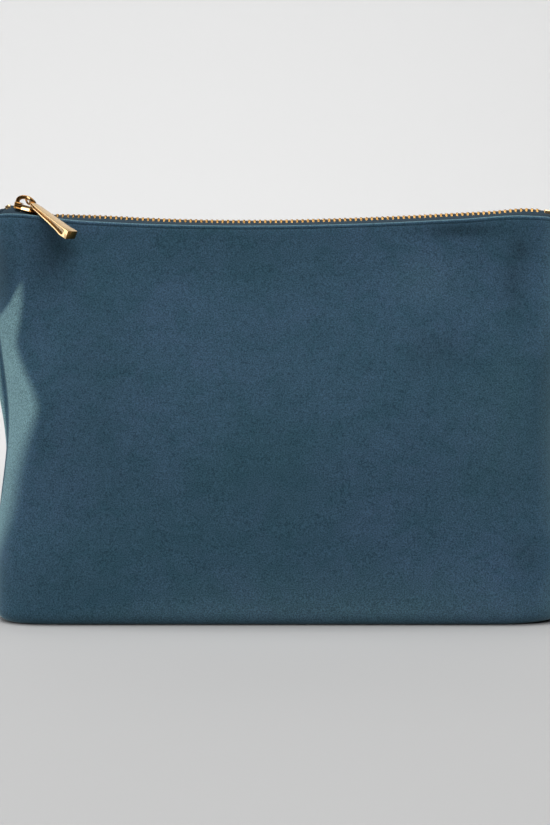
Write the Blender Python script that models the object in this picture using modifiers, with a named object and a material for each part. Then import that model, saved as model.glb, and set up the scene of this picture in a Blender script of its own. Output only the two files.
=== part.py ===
"""Zippered pouch: two padded velvet walls round a lined pocket, closed along the top by a metal zip.

Metres, +Z up. The origin is on the floor under the middle of the pouch, +X runs along the zip
towards its bottom stop, and -Y is the front. The zip is closed, with the slider at its -X end.

The walls are nested layers. Each layer is the same plan outline, moved inwards by the layer's
depth below the velvet's outside, so a change of one size moves every layer with it.
"""
import math

import bmesh
import bpy
from mathutils import Vector

# Overall sizes
WIDTH = 0.248  # side seam to side seam
CHAIN_TOP = 0.176  # floor to the top of the teeth
BELLY_DEPTH = 0.045  # front to back where the pouch is fullest
MOUTH_DEPTH = 0.018  # front to back over the velvet's folded top edges
FOOT_DEPTH = 0.028  # front to back of the flat foot
BELLY_SHARE = 0.35  # height of the fullest section, as a share of the velvet's height
SIDE_PINCH = 0.003  # how far each side seam is drawn in at mid height
EDGE_RADIUS = 0.006  # round between the foot and the walls
BELLY_SQUARENESS = 2.6  # exponent of the plan outline at the foot
MOUTH_SQUARENESS = 10.0  # and at the mouth, where the outline is nearly straight

# Layers of a wall, from the outside in
VELVET = 0.0012
PADDING = 0.0024
LINING = 0.0005
PLY_GAP = 0.0003
PADDING_IN = VELVET + PLY_GAP
LINING_IN = PADDING_IN + PADDING + PLY_GAP
FOLD_BELOW = 0.0006  # from the slider's underside down to the velvet's folded edge
LINING_BELOW = 0.0011  # from the velvet's folded edge down to the lining's
PADDING_BELOW = 0.004  # from the tape's sewn edge down to the padding
PANEL_GAP = 0.0003  # between the front and the back layers along every seam
PADDING_SHORT = 2  # columns of faces that the padding stops short of the side seams
SEAM_ROLL = 0.0007  # radius of the turned-in seam allowance
SEAM_ROOM = 2 * PANEL_GAP + 3 * SEAM_ROLL  # left behind the foot's front edge for the bottom seam

# Zip chain
TOOTH_PITCH = 0.00228
TOOTH_THICK = 0.0007
TOOTH_HEIGHT = 0.0026
TOOTH_REACH = 0.0011  # how far a tooth crosses the middle line
SPINE_IN = 0.0015  # from the middle line to the clenched part of the teeth
SPINE_OUT = 0.0024
TAPE = 0.0005
TAPE_SHELF = 0.0056  # from the middle line to where the tape turns down
TAPE_SEWN = 0.012  # depth of tape held between the velvet and the lining
TAPE_END = 0.007  # the tapes stop this far inside the side seams
CHAIN_FIT = 0.0003  # clearance round the chain, and between its pieces

# Slider, with its cast bridge
SLIDER_LENGTH = 0.010
SLIDER_NOSE = 0.0088  # width at the -X end, where the rows of teeth part
SLIDER_TAIL = 0.0074
SLIDER_PLATE = 0.0009
SLIDER_SLOT = 0.0010  # height of the slot that the tapes leave by
WEDGE_LENGTH = 0.0032
WEDGE_WIDTH = 0.0020
BRIDGE_WIRE = 0.00065  # radius
BRIDGE_RISE = 0.0038  # from the top plate to the wire's axis
EYE_BACK = 0.0002  # the eye rests this far towards the nose
BRIDGE_INSET = 0.0015  # from the slider's ends to the wire's legs

# Pull
PULL_LENGTH = 0.030  # from the eye's rim to the tip
PULL_EYE = 0.0016  # radius of the hole
PULL_RIM = 0.0010
PULL_NECK = (0.0018, 0.0016)  # width and thickness where it leaves the eye
PULL_SHOULDER = (0.0046, 0.0018)
PULL_TIP = (0.0066, 0.0036)
PULL_BLOCK = 0.006  # length of the solid end block
PULL_SLOPE = Vector((0.65, -0.60, -0.47)).normalized()  # the way it hangs
PULL_ROOT = Vector((0, -0.97, -0.24)).normalized()  # from the eye's centre to where the neck leaves it

# Ends of the zip
STOP_LENGTH = 0.0022
STOP_CLEAR = 0.0010  # between the slider and a stop when it has run home
HEAD_ROOM = 0.0025  # from the tapes' ends to the slider's nose with the zip closed
TAIL_ROOM = 0.0015  # from the tapes' other ends to the bottom stop
BOTTOM_STOP_LENGTH = 0.003
TAB_SPREAD = 0.0044  # width of an end tab across the zip
TAB_DROP = 0.0033  # height of an end tab

STITCH_RADIUS = 0.0003
STITCH_DROP = 0.0035  # topstitching below the folded edge

HALF_WIDTH = WIDTH / 2
SLIDER_START = -(HALF_WIDTH - TAPE_END - HEAD_ROOM)
CHAIN_MID = CHAIN_TOP - TOOTH_HEIGHT / 2
SLIDER_UNDER = CHAIN_TOP - TOOTH_HEIGHT - CHAIN_FIT - SLIDER_PLATE
SLIDER_OVER = CHAIN_TOP + CHAIN_FIT + SLIDER_PLATE
VELVET_TOP = SLIDER_UNDER - FOLD_BELOW
LINING_TOP = VELVET_TOP - LINING_BELOW
PADDING_TOP = VELVET_TOP - TAPE_SEWN - PADDING_BELOW
BRIDGE_AXIS = SLIDER_OVER + BRIDGE_RISE
SLIDER_MID = SLIDER_START + SLIDER_LENGTH / 2
EYE_CENTRE = Vector((SLIDER_MID - EYE_BACK, 0.0, BRIDGE_AXIS))
FOOT_HALF = FOOT_DEPTH / 2
BOTTOM_STOP_X = HALF_WIDTH - TAPE_END - TAIL_ROOM - BOTTOM_STOP_LENGTH
TOP_STOP_X = SLIDER_START - STOP_CLEAR - STOP_LENGTH

COLUMNS = 18  # faces along a wall
WALL_ROWS = 9  # faces up a wall above the rounded edge
EDGE_ROWS = 3
FOOT_ROWS = 2

COLOURS = {
    "velvet": ((0.036, 0.078, 0.112), 0.85, 0.0),
    "padding": ((0.75, 0.75, 0.72), 0.9, 0.0),
    "lining": ((0.03, 0.05, 0.075), 0.6, 0.0),
    "tape": ((0.035, 0.07, 0.10), 0.8, 0.0),
    "thread": ((0.02, 0.045, 0.07), 0.7, 0.0),
    "brass": ((0.70, 0.48, 0.20), 0.28, 1.0),
}


def clear_scene():
    for old in list(bpy.data.objects):
        bpy.data.objects.remove(old, do_unlink=True)


def new_collection(name):
    collection = bpy.data.collections.new(name)
    bpy.context.scene.collection.children.link(collection)
    return collection


def make_material(name):
    colour, roughness, metallic = COLOURS[name]
    material = bpy.data.materials.new(name)
    material.use_nodes = True
    shader = material.node_tree.nodes["Principled BSDF"]
    shader.inputs["Base Color"].default_value = (*colour, 1.0)
    shader.inputs["Roughness"].default_value = roughness
    shader.inputs["Metallic"].default_value = metallic
    return material


def add_object(name, data, material, collection):
    """A named object with its own material, in the given collection."""
    made = bpy.data.objects.new(name, data)
    collection.objects.link(made)
    if material:
        own = make_material(material)
        own.name = f"{name}_{material}"
        made.data.materials.append(own)
    return made


# ---------------------------------------------------------------- the walls


def wall_half_width(height, inset):
    """Half the plan outline's width at this height, for a layer this far in from the velvet."""
    share = min(max(height / VELVET_TOP, 0.0), 1.0)
    return HALF_WIDTH - SIDE_PINCH * math.sin(math.pi * share) ** 2 - inset


def wall_half_depth(height, inset):
    """Half the plan outline's depth: full at the belly, and falling smoothly to the mouth."""
    belly_height = BELLY_SHARE * VELVET_TOP
    foot = FOOT_HALF + EDGE_RADIUS
    if height < belly_height:
        rise = math.sin(math.pi / 2 * height / belly_height)
        depth = foot + (BELLY_DEPTH / 2 - foot) * rise
    else:
        share = min((height - belly_height) / (VELVET_TOP - belly_height), 1.0)
        fall = math.cos(math.pi / 2 * share) ** 2
        depth = MOUTH_DEPTH / 2 + (BELLY_DEPTH - MOUTH_DEPTH) / 2 * fall
    return depth - inset


def outline_depth(x, half_width, half_depth, height):
    """How far the plan outline stands from the middle plane at x."""
    share = min(max(height / VELVET_TOP, 0.0), 1.0)
    power = BELLY_SQUARENESS + (MOUTH_SQUARENESS - BELLY_SQUARENESS) * share**2
    return half_depth * math.sqrt(max(1 - min(abs(x / half_width), 1.0) ** power, 0.0))


def edge_inset(height, inset):
    """How far the rounded foot edge draws the outline in at this height."""
    radius = EDGE_RADIUS - inset
    above = height - inset
    if above >= radius:
        return 0.0
    return radius - math.sqrt(max(radius**2 - (radius - above) ** 2, 0.0))


def wall_row(height, inset, side):
    """Points of one layer at one height, from -X to +X. side is -1 in front and 1 behind."""
    drawn_in = inset + edge_inset(height, inset)
    half_width = wall_half_width(height, drawn_in)
    half_depth = wall_half_depth(height, drawn_in)
    row = []
    for column in range(COLUMNS + 1):
        x = half_width * math.sin(math.pi / 2 * (2 * column / COLUMNS - 1))
        y = outline_depth(x, half_width, half_depth, height) + PANEL_GAP / 2
        row.append(Vector((x, side * y, height)))
    return row


def wall_rows(inset, top, side):
    """Rows of one layer from the foot's edge up to top."""
    radius = EDGE_RADIUS - inset
    heights = []
    for step in range(EDGE_ROWS):
        heights.append(inset + radius * (1 - math.cos(math.pi / 2 * step / EDGE_ROWS)))
    rise = (VELVET_TOP - EDGE_RADIUS) / WALL_ROWS
    heights += [EDGE_RADIUS + rise * step for step in range(WALL_ROWS) if EDGE_RADIUS + rise * step < top]
    heights.append(top)
    return [wall_row(height, inset, side) for height in heights]


def foot_rows(inset, behind_seam):
    """Rows across the flat foot, from this far behind its front edge to its back edge."""
    back = wall_row(inset, inset, 1)
    front = []
    for near, far in zip(wall_row(inset, inset, -1), back):
        front.append(Vector((near.x, min(near.y + behind_seam, far.y), near.z)))
    rows = []
    for step in range(FOOT_ROWS):
        rows.append([near.lerp(far, step / FOOT_ROWS) for near, far in zip(front, back)])
    return rows


def mesh_from_grids(name, outer, inner):
    """A closed ply between two grids of points, joined round their edges."""
    mesh = bmesh.new()
    outer = [[mesh.verts.new(point) for point in row] for row in outer]
    inner = [[mesh.verts.new(point) for point in row] for row in inner]
    for grid in (outer, inner):
        for lower, upper in zip(grid, grid[1:]):
            for column in range(len(lower) - 1):
                mesh.faces.new((lower[column], lower[column + 1], upper[column + 1], upper[column]))
    rims = (
        (outer[0], inner[0]),
        (outer[-1], inner[-1]),
        ([row[0] for row in outer], [row[0] for row in inner]),
        ([row[-1] for row in outer], [row[-1] for row in inner]),
    )
    for outside, inside in rims:
        for step in range(len(outside) - 1):
            mesh.faces.new((outside[step], outside[step + 1], inside[step + 1], inside[step]))
    bmesh.ops.remove_doubles(mesh, verts=mesh.verts, dist=0.00002)
    bmesh.ops.recalc_face_normals(mesh, faces=mesh.faces)
    data = bpy.data.meshes.new(name)
    mesh.to_mesh(data)
    mesh.free()
    data.shade_smooth()
    data.set_sharp_from_angle(angle=math.radians(40))
    return data


def add_wall_layer(layer, inset, thickness, top, material, short=0, behind_seam=PANEL_GAP):
    """The front and the back of one layer. The back one runs on under the foot.

    short is how many columns of faces the layer stops short of each side seam.
    """
    for face, side in (("front", -1), ("back", 1)):
        grids = []
        for depth in (inset, inset + thickness):
            rows = wall_rows(depth, top, side)
            if side > 0:
                rows = foot_rows(depth, behind_seam) + rows
            grids.append([row[short : len(row) - short] for row in rows])
        name = f"{face}_{layer}"
        add_object(name, mesh_from_grids(name, *grids), material, parts)


# ---------------------------------------------------------------- seams and stitching


def tube_object(name, points, radius, material):
    """A round thread or wire through the points."""
    curve = bpy.data.curves.new(name, "CURVE")
    curve.dimensions = "3D"
    curve.bevel_depth = radius
    curve.bevel_resolution = 2
    curve.use_fill_caps = True
    spline = curve.splines.new("POLY")
    spline.points.add(len(points) - 1)
    for point, place in zip(spline.points, points):
        point.co = (*place, 1.0)
    return add_object(name, curve, material, parts)


def add_side_seam(name, side):
    """The allowance of a side seam, turned in between the velvet and the lining."""
    low, high, steps = EDGE_RADIUS + 0.004, VELVET_TOP - 0.007, 10
    points = []
    for step in range(steps + 1):
        height = low + (high - low) * step / steps
        x = wall_half_width(height, (VELVET + LINING_IN) / 2)
        points.append((side * x, 0.0, height))
    tube_object(name, points, SEAM_ROLL, "thread")


def add_bottom_seam():
    """The allowance of the seam along the foot's front edge, where the front wall turns."""
    height = (VELVET + LINING_IN) / 2
    row = wall_row(height, height, -1)
    behind = Vector((0, PANEL_GAP + 2 * SEAM_ROLL, 0))
    inner = [point + behind for point in row[2:-2]]
    tube_object("bottom_seam", inner, SEAM_ROLL, "thread")


def add_topstitch(name, side):
    """The line of topstitching that holds the zip tape under the folded edge."""
    height = VELVET_TOP - STITCH_DROP
    rows = wall_rows(-STITCH_RADIUS - PLY_GAP / 2, VELVET_TOP, side)
    above = next(index for index, row in enumerate(rows) if row[0].z >= height)
    low, high = rows[above - 1], rows[above]
    share = (height - low[0].z) / (high[0].z - low[0].z)
    points = [under.lerp(over, share) for under, over in zip(low, high)]
    tube_object(name, points[1:-1], STITCH_RADIUS, "thread")


# ---------------------------------------------------------------- the zip


def extruded_outline(name, corners, low, high, material):
    """A flat outline in plan, as a solid from low to high."""
    curve = bpy.data.curves.new(name, "CURVE")
    curve.dimensions = "2D"
    curve.fill_mode = "BOTH"
    curve.extrude = (high - low) / 2
    spline = curve.splines.new("POLY")
    spline.points.add(len(corners) - 1)
    for point, (x, y) in zip(spline.points, corners):
        point.co = (x, y, 0.0, 1.0)
    spline.use_cyclic_u = True
    made = add_object(name, curve, material, parts)
    made.location.z = (low + high) / 2
    return made


def add_teeth(name, side, shift):
    """One row of teeth with the spine that the tape holds them by, as a comb."""
    first = SLIDER_START + WEDGE_LENGTH + 3 * CHAIN_FIT + shift
    last = BOTTOM_STOP_X - CHAIN_FIT - TOOTH_THICK
    count = int((last - first) / TOOTH_PITCH)
    corners = [(first, side * SPINE_OUT)]
    for tooth in range(count + 1):
        x = first + tooth * TOOTH_PITCH
        corners.append((x, side * SPINE_IN) if tooth else (x, -side * TOOTH_REACH))
        if tooth:
            corners.append((x, -side * TOOTH_REACH))
        corners.append((x + TOOTH_THICK, -side * TOOTH_REACH))
        corners.append((x + TOOTH_THICK, side * SPINE_IN))
    corners[-1] = (corners[-1][0], side * SPINE_OUT)
    extruded_outline(name, corners, CHAIN_TOP - TOOTH_HEIGHT, CHAIN_TOP, "brass")


def sheet_object(name, rows, thickness, material, outwards):
    """An open sheet through the rows, thickened away from the side that its faces look to."""
    mesh = bmesh.new()
    grid = [[mesh.verts.new(point) for point in row] for row in rows]
    for lower, upper in zip(grid, grid[1:]):
        for column in range(len(lower) - 1):
            corners = (lower[column], lower[column + 1], upper[column + 1], upper[column])
            mesh.faces.new(corners if outwards else corners[::-1])
    data = bpy.data.meshes.new(name)
    mesh.to_mesh(data)
    mesh.free()
    made = add_object(name, data, material, parts)
    solidify = made.modifiers.new("ply", "SOLIDIFY")
    solidify.thickness = thickness
    solidify.offset = -1
    return made


def add_tape(name, side):
    """A zip tape: flat beside the teeth, then turned down between the velvet and the lining."""
    half = HALF_WIDTH - TAPE_END
    shelf = CHAIN_MID + TAPE / 2
    middle = PADDING_IN + TAPE / 2 - PLY_GAP / 2
    rows = [[], [], [], []]
    for column in range(COLUMNS + 1):
        x = half * math.sin(math.pi / 2 * (2 * column / COLUMNS - 1))
        rows[0].append(Vector((x, side * (SPINE_OUT + CHAIN_FIT), shelf)))
        rows[1].append(Vector((x, side * TAPE_SHELF, shelf)))
        for row, height in ((rows[2], VELVET_TOP), (rows[3], VELVET_TOP - TAPE_SEWN)):
            half_width = wall_half_width(height, middle)
            half_depth = wall_half_depth(height, middle)
            y = outline_depth(x, half_width, half_depth, height)
            row.append(Vector((x, side * y, height)))
    sheet_object(name, rows, TAPE, "tape", side > 0)


def box_mesh(name, low, high):
    mesh = bmesh.new()
    bmesh.ops.create_cube(mesh, size=1.0)
    centre = (Vector(low) + Vector(high)) / 2
    size = Vector(high) - Vector(low)
    for vert in mesh.verts:
        vert.co = Vector((vert.co[axis] * size[axis] + centre[axis] for axis in range(3)))
    data = bpy.data.meshes.new(name)
    mesh.to_mesh(data)
    mesh.free()
    return data


def add_block(name, low, high, material, round_by):
    """A small rounded block between two corners."""
    made = add_object(name, box_mesh(name, low, high), material, parts)
    bevel = made.modifiers.new("rounded", "BEVEL")
    bevel.width = round_by
    bevel.segments = 2
    return made


def add_zip_ends():
    """Top stops at the closed end, the bottom stop at the other, and a fabric tab over each end."""
    low, high = CHAIN_TOP - TOOTH_HEIGHT + 0.0002, CHAIN_TOP - 0.0001
    for name, side in (("front_top_stop", -1), ("back_top_stop", 1)):
        near, far = sorted((side * CHAIN_FIT, side * SPINE_OUT))
        add_block(name, (TOP_STOP_X, near, low), (TOP_STOP_X + STOP_LENGTH, far, high), "brass", 0.0003)
    add_block(
        "bottom_stop",
        (BOTTOM_STOP_X, -SPINE_OUT, CHAIN_TOP - TOOTH_HEIGHT),
        (BOTTOM_STOP_X + BOTTOM_STOP_LENGTH, SPINE_OUT, CHAIN_TOP + 0.0001),
        "brass",
        0.0004,
    )
    tab_top = CHAIN_TOP - 0.0006
    for name, side in (("left_end_tab", -1), ("right_end_tab", 1)):
        inner = abs(TOP_STOP_X) if side < 0 else BOTTOM_STOP_X + BOTTOM_STOP_LENGTH
        near, far = sorted((side * (inner + CHAIN_FIT), side * (HALF_WIDTH - 0.001)))
        add_block(
            name,
            (near, -TAB_SPREAD / 2, tab_top - TAB_DROP),
            (far, TAB_SPREAD / 2, tab_top),
            "tape",
            0.0008,
        )


# ---------------------------------------------------------------- slider and pull


def add_cutter(name, low, high):
    cutter = add_object(name, box_mesh(name, low, high), None, cutters)
    cutter.hide_render = True
    cutter.display_type = "WIRE"
    return cutter


def apply_boolean(target, operation, other):
    step = target.modifiers.new(other.name, "BOOLEAN")
    step.operation = operation
    step.object = other


def curve_to_cutter(curve_object, name):
    """The curve's evaluated tube as a closed mesh that a Boolean can join."""
    graph = bpy.context.evaluated_depsgraph_get()
    data = bpy.data.meshes.new_from_object(curve_object.evaluated_get(graph))
    mesh = bmesh.new()
    mesh.from_mesh(data)
    bmesh.ops.remove_doubles(mesh, verts=mesh.verts, dist=0.00001)
    bmesh.ops.recalc_face_normals(mesh, faces=mesh.faces)
    mesh.to_mesh(data)
    mesh.free()
    made = add_object(name, data, None, cutters)
    made.matrix_world = curve_object.matrix_world
    made.hide_render = True
    made.display_type = "WIRE"
    bpy.data.objects.remove(curve_object, do_unlink=True)
    return made


def add_slider():
    """Two plates over and under the chain, joined by the wedge at the nose, with a cast bridge."""
    nose, tail = SLIDER_START, SLIDER_START + SLIDER_LENGTH
    data = box_mesh("slider_body", (nose, -1, SLIDER_UNDER), (tail, 1, SLIDER_OVER))
    for vert in data.vertices:
        width = SLIDER_NOSE if vert.co.x < SLIDER_MID else SLIDER_TAIL
        vert.co.y = math.copysign(width / 2, vert.co.y)
    slider = add_object("slider_body", data, "brass", parts)
    bevel = slider.modifiers.new("rounded", "BEVEL")
    bevel.width = SLIDER_PLATE / 3
    bevel.segments = 2
    past = 0.002
    channel = SPINE_OUT + CHAIN_FIT
    chain = add_cutter(
        "chain_channel",
        (nose - past, -channel, SLIDER_UNDER + SLIDER_PLATE),
        (tail + past, channel, SLIDER_OVER - SLIDER_PLATE),
    )
    slot = add_cutter(
        "tape_slot",
        (nose - past, -SLIDER_NOSE, CHAIN_MID - SLIDER_SLOT / 2),
        (tail + past, SLIDER_NOSE, CHAIN_MID + SLIDER_SLOT / 2),
    )
    wedge = add_cutter(
        "wedge",
        (nose + CHAIN_FIT, -WEDGE_WIDTH / 2, SLIDER_UNDER + SLIDER_PLATE / 2),
        (nose + WEDGE_LENGTH, WEDGE_WIDTH / 2, SLIDER_OVER - SLIDER_PLATE / 2),
    )
    left, right = nose + BRIDGE_INSET, tail - BRIDGE_INSET
    foot = SLIDER_OVER - SLIDER_PLATE / 2
    corner = 0.0014
    bridge = tube_object(
        "bridge_wire",
        [
            (left, 0, foot),
            (left, 0, BRIDGE_AXIS - corner),
            (left + 0.3 * corner, 0, BRIDGE_AXIS - 0.3 * corner),
            (left + corner, 0, BRIDGE_AXIS),
            (right - corner, 0, BRIDGE_AXIS),
            (right - 0.3 * corner, 0, BRIDGE_AXIS - 0.3 * corner),
            (right, 0, BRIDGE_AXIS - corner),
            (right, 0, foot),
        ],
        BRIDGE_WIRE,
        None,
    )
    bridge = curve_to_cutter(bridge, "bridge")
    apply_boolean(slider, "DIFFERENCE", chain)
    apply_boolean(slider, "DIFFERENCE", slot)
    apply_boolean(slider, "UNION", wedge)
    apply_boolean(slider, "UNION", bridge)


def section_corners(distance, width, thickness):
    """Four corners of the pull's section at this distance from the eye's rim, square to its length."""
    up = (Vector((0, 0, 1)) - PULL_SLOPE * PULL_SLOPE.z).normalized()
    across = up.cross(PULL_SLOPE).normalized()
    centre = PULL_ROOT * (PULL_EYE + PULL_RIM / 2) + PULL_SLOPE * distance
    return [
        centre + across * (width / 2 * a) + up * (thickness / 2 * b)
        for a, b in ((-1, -1), (1, -1), (1, 1), (-1, 1))
    ]


def add_pull():
    """A cast pull: an eye round the bridge, a neck, a leaf that widens, and a thick end block."""
    mesh = bmesh.new()
    stations = (
        (0.0, *PULL_NECK),
        (0.0040, *PULL_NECK),
        (0.0065, *PULL_SHOULDER),
        (PULL_LENGTH - PULL_BLOCK, PULL_TIP[0] * 0.9, PULL_TIP[1] * 0.75),
        (PULL_LENGTH - PULL_BLOCK + 0.001, *PULL_TIP),
        (PULL_LENGTH, *PULL_TIP),
    )
    rings = []
    for distance, width, thickness in stations:
        corners = section_corners(distance, width, thickness)
        rings.append([mesh.verts.new(corner) for corner in corners])
    for near, far in zip(rings, rings[1:]):
        for corner in range(4):
            after = (corner + 1) % 4
            mesh.faces.new((near[corner], near[after], far[after], far[corner]))
    mesh.faces.new(rings[0][::-1])
    mesh.faces.new(rings[-1])
    bmesh.ops.recalc_face_normals(mesh, faces=mesh.faces)
    data = bpy.data.meshes.new("pull_tab")
    mesh.to_mesh(data)
    mesh.free()
    pull = add_object("pull_tab", data, "brass", parts)
    pull.location = EYE_CENTRE
    ring_points = []
    steps = 20
    middle = PULL_EYE + PULL_RIM / 2
    for step in range(steps):
        turn = 2 * math.pi * step / steps
        ring_points.append((0.0, middle * math.cos(turn), middle * math.sin(turn)))
    eye = tube_object("eye_ring", ring_points, PULL_RIM / 2, None)
    eye.data.splines[0].use_cyclic_u = True
    eye.location = EYE_CENTRE
    bpy.context.view_layer.update()
    apply_boolean(pull, "UNION", curve_to_cutter(eye, "eye"))


clear_scene()
parts = new_collection("zippered_pouch")
cutters = new_collection("cutters")
add_wall_layer("panel", 0.0, VELVET, VELVET_TOP, "velvet")
add_wall_layer("padding", PADDING_IN, PADDING, PADDING_TOP, "padding", PADDING_SHORT, SEAM_ROOM)
add_wall_layer("lining", LINING_IN, LINING, LINING_TOP, "lining")
for end, way in (("left", -1), ("right", 1)):
    add_side_seam(f"{end}_side_seam", way)
add_bottom_seam()
for face, way in (("front", -1), ("back", 1)):
    add_topstitch(f"{face}_topstitch", way)
    add_tape(f"{face}_zip_tape", way)
add_teeth("front_teeth", -1, 0.0)
add_teeth("back_teeth", 1, TOOTH_PITCH / 2)
add_zip_ends()
add_slider()
add_pull()
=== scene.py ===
"""A zippered pouch of blue-grey velvet, put together in the order of the sewing room.

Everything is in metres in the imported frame: the floor is z = 0, the zip runs along X, and the front
of the pouch looks along -Y.
"""
import math

import bmesh
import bpy
import numpy as np
from mathutils import Matrix, Vector


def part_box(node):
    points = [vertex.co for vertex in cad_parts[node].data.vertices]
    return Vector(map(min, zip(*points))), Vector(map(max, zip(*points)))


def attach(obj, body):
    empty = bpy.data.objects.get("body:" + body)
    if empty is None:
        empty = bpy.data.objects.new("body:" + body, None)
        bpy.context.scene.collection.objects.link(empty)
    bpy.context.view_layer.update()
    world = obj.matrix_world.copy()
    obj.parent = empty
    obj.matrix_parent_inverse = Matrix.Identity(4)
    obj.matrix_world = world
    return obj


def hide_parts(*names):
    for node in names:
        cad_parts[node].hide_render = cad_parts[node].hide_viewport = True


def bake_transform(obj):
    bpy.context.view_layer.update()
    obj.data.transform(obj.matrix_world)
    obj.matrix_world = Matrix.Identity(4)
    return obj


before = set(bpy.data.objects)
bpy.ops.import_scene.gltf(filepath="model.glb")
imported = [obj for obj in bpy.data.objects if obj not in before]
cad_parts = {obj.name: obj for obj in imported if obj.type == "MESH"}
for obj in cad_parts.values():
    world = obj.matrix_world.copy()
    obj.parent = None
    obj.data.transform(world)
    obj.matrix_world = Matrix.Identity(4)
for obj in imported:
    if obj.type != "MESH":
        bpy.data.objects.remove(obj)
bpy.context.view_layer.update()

MM = 0.001

# ------------------------------------------------------------------ the set
# A seamless studio sweep of matt grey card, with a long lens a little above the table.
# The card curves up behind the pouch, so no line shows between floor and wall.
CAMERA_LENS = 85.0
CAMERA_AWAY = 0.843
CAMERA_ABOVE = math.radians(5.6)
LOOK_AT = Vector((-2.6 * MM, 0.0, 90.0 * MM))


def linear(hex_colour):
    """An sRGB hex colour as the linear RGBA that a shader takes."""
    shares = [int(hex_colour[i : i + 2], 16) / 255 for i in (1, 3, 5)]
    bent = [s / 12.92 if s <= 0.04045 else ((s + 0.055) / 1.055) ** 2.4 for s in shares]
    return (*bent, 1.0)


def add_node(tree, kind, settings=None, links=None):
    """Adds a shader node. settings are attributes or input values, links are inputs to feed."""
    made = tree.nodes.new(kind)
    for key, value in (settings or {}).items():
        if isinstance(key, str) and hasattr(made, key):
            setattr(made, key, value)
        else:
            made.inputs[key].default_value = value
    for key, source in (links or {}).items():
        tree.links.new(source, made.inputs[key])
    return made


def new_material(name):
    """An empty material, and its tree of nodes."""
    material = bpy.data.materials.new(name)
    material.use_nodes = True
    tree = material.node_tree
    tree.nodes.clear()
    return material, tree


def two_tones(tree, share, low, high):
    """A colour between two tones."""
    tones = {"data_type": "RGBA", 6: linear(low), 7: linear(high)}
    return add_node(tree, "ShaderNodeMix", tones, {0: share}).outputs[2]


def finish_material(tree, settings, colour=None, normal=None, roughness=None):
    """Ends a material: a Principled surface with its settings and what feeds it."""
    fed = {"Base Color": colour, "Normal": normal, "Roughness": roughness}
    fed = {key: source for key, source in fed.items() if source is not None}
    shader = add_node(tree, "ShaderNodeBsdfPrincipled", settings, fed)
    add_node(tree, "ShaderNodeOutputMaterial", {}, {"Surface": shader.outputs[0]})


def sweep_card():
    """Uncoated card with a faint mottle, painted darker on the floor and lighter up the wall: painted
    shade and light.
    """
    material, tree = new_material("matt_grey_card")
    place = add_node(tree, "ShaderNodeTexCoord")
    mottle = add_node(tree, "ShaderNodeTexNoise", {"Scale": 3.0}, {"Vector": place.outputs["Object"]})
    floor = two_tones(tree, mottle.outputs[0], "#AEAEAE", "#B2B2B2")
    axes = add_node(tree, "ShaderNodeSeparateXYZ", {}, {0: place.outputs["Object"]})
    depth = {"interpolation_type": "SMOOTHSTEP", "From Min": 0.05, "From Max": 0.75}
    back = add_node(tree, "ShaderNodeMapRange", depth, {"Value": axes.outputs[1]})
    # Painted light: the wall's lighter grey, mixed in from the floor's grey towards the back.
    light = {"data_type": "RGBA", 7: linear("#E2E2E2")}
    tone = add_node(tree, "ShaderNodeMix", light, {0: back.outputs[0], 6: floor})
    finish_material(tree, {"Roughness": 0.9, "Specular IOR Level": 0.1}, tone.outputs[2])
    return material


def add_sweep():
    """The card: a floor, a quarter turn and a wall, one strip of faces."""
    half, front, bend, top = 1.6, -1.1, 0.45, 2.2
    back = 0.75
    profile = [(front, 0.0), (back, 0.0)]
    for step in range(1, 13):
        turn = math.pi / 2 * step / 12
        profile.append((back + bend * math.sin(turn), bend * (1 - math.cos(turn))))
    profile.append((back + bend, top))
    mesh = bpy.data.meshes.new("sweep")
    points = [(x, y, z) for y, z in profile for x in (-half, half)]
    faces = [(2 * i, 2 * i + 1, 2 * i + 3, 2 * i + 2) for i in range(len(profile) - 1)]
    mesh.from_pydata(points, [], faces)
    mesh.shade_smooth()
    card = bpy.data.objects.new("sweep", mesh)
    bpy.context.collection.objects.link(card)
    card.data.materials.append(sweep_card())


def add_softbox(name, place, target, size, watts):
    """A white area light at a place, turned towards its target."""
    light = bpy.data.lights.new(name, "AREA")
    light.shape = "RECTANGLE"
    light.size, light.size_y = size
    light.energy = watts
    made = bpy.data.objects.new(name, light)
    bpy.context.collection.objects.link(made)
    made.location = place
    made.rotation_euler = (Vector(target) - Vector(place)).to_track_quat("-Z", "Y").to_euler()
    return made


add_sweep()
camera = bpy.data.objects.new("camera", bpy.data.cameras.new("camera"))
bpy.context.collection.objects.link(camera)
camera.data.lens = CAMERA_LENS
camera.data.sensor_width = 36.0
camera.data.clip_start = 0.05
away = Vector((0.0, -math.cos(CAMERA_ABOVE), math.sin(CAMERA_ABOVE)))
camera.location = LOOK_AT + CAMERA_AWAY * away
camera.rotation_euler = (-away).to_track_quat("-Z", "Y").to_euler()
bpy.context.scene.camera = camera
bpy.context.scene.view_settings.view_transform = "Standard"

world = bpy.data.worlds.new("studio_air")
world.use_nodes = True
world.node_tree.nodes["Background"].inputs[0].default_value = linear("#A6A6A4")
world.node_tree.nodes["Background"].inputs[1].default_value = 0.12
bpy.context.scene.world = world
add_softbox("overhead_box", (0.0, -0.25, 1.5), (0, 0, 0.1), (1.5, 1.0), 15.5)
add_softbox("left_box", (-1.1, -0.15, 0.45), (-0.1, 0.0, 0.1), (0.9, 1.1), 6.5)
add_softbox("high_front_box", (0.25, -1.5, 1.35), (0, 0, 0.1), (1.4, 0.7), 18.5)
add_softbox("wall_wash", (0.0, 0.25, 1.9), (0, 1.2, 0.6), (2.6, 0.6), 13)


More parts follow.
